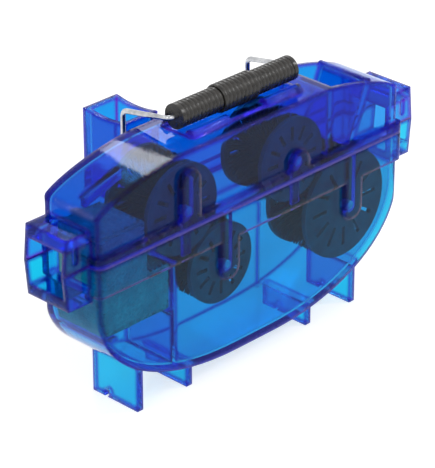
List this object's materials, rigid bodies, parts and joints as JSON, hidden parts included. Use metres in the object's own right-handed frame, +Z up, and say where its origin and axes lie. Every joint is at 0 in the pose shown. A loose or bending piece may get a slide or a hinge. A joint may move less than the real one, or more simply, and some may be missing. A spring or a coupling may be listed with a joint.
{
  "type": "bike chain cleaner",
  "caption": "Clear blue bicycle chain cleaner: tank on plate legs, domed cover with hopper, brush rollers and sponges inside, wire bail with ribbed grip.",
  "frame": {"origin": "middle of the two shells in plan, on the plane of the four feet", "axes": "+X along the chain from the sponge end to the hopper end, -Y towards the front face, +Z up"},
  "size_m": [0.1648, 0.0575, 0.0986],
  "materials": {
    "clear_blue": "clear tinted gloss",
    "sponge": "open-cell foam",
    "wire": "bright plated spring wire",
    "grip": "ribbed matt",
    "axle": "moulded pin",
    "brush_plastic": "moulded matt black",
    "bristle": "nylon bristle"
  },
  "bodies": {
    "tank": {"lower_tank": "clear_blue", "rear_socket": "clear_blue", "lower_sponge": "sponge"},
    "cover": {"top_cover": "clear_blue", "upper_sponge": "sponge"},
    "bail": {"bail_wire": "wire", "grip_left_sleeve": "grip", "grip_collar": "grip", "grip_right_sleeve": "grip"},
    "entry_upper_pin": {"entry_upper_axle": "axle"},
    "entry_upper_roller": {"entry_upper_core": "brush_plastic", "entry_upper_front_disc": "brush_plastic", "entry_upper_rear_disc": "brush_plastic", "entry_upper_bristles": "bristle"},
    "entry_lower_roller": {"entry_lower_axle": "axle", "entry_lower_core": "brush_plastic", "entry_lower_front_disc": "brush_plastic", "entry_lower_rear_disc": "brush_plastic", "entry_lower_bristles": "bristle"},
    "exit_upper_roller": {"exit_upper_axle": "axle", "exit_upper_core": "brush_plastic", "exit_upper_front_disc": "brush_plastic", "exit_upper_rear_disc": "brush_plastic", "exit_upper_bristles": "bristle"},
    "exit_lower_roller": {"exit_lower_axle": "axle", "exit_lower_core": "brush_plastic", "exit_lower_front_disc": "brush_plastic", "exit_lower_rear_disc": "brush_plastic", "exit_lower_bristles": "bristle"}
  },
  "joints": [
    {"name": "bail_swing", "type": "hinge", "parent": "tank", "child": "bail", "pos_m": [0, 0.0214, 0.05], "axis": [-1, 0, 0], "range_deg": [0, 140]},
    {"name": "cover_lift", "type": "slide", "parent": "tank", "child": "cover", "axis": [0, 0, 1], "range_m": [0, 0.024]},
    {"name": "entry_upper_float", "type": "slide", "parent": "cover", "child": "entry_upper_pin", "axis": [0, 0, 1], "range_m": [0, 0.003]},
    {"name": "entry_upper_spin", "type": "hinge", "parent": "entry_upper_pin", "child": "entry_upper_roller", "pos_m": [-0.03132, 0, 0.0663], "axis": [0, 1, 0], "continuous": true},
    {"name": "entry_lower_spin", "type": "hinge", "parent": "tank", "child": "entry_lower_roller", "pos_m": [-0.01347, 0, 0.0401], "axis": [0, 1, 0], "continuous": true},
    {"name": "exit_upper_spin", "type": "hinge", "parent": "cover", "child": "exit_upper_roller", "pos_m": [0.02029, 0, 0.0663], "axis": [0, 1, 0], "continuous": true},
    {"name": "exit_lower_spin", "type": "hinge", "parent": "tank", "child": "exit_lower_roller", "pos_m": [0.04711, 0, 0.0401], "axis": [0, 1, 0], "continuous": true}
  ],
  "couplings": [
    {"joint": "cover_lift", "follows": "bail_swing", "m_per_rad": 0.0098}
  ]
}
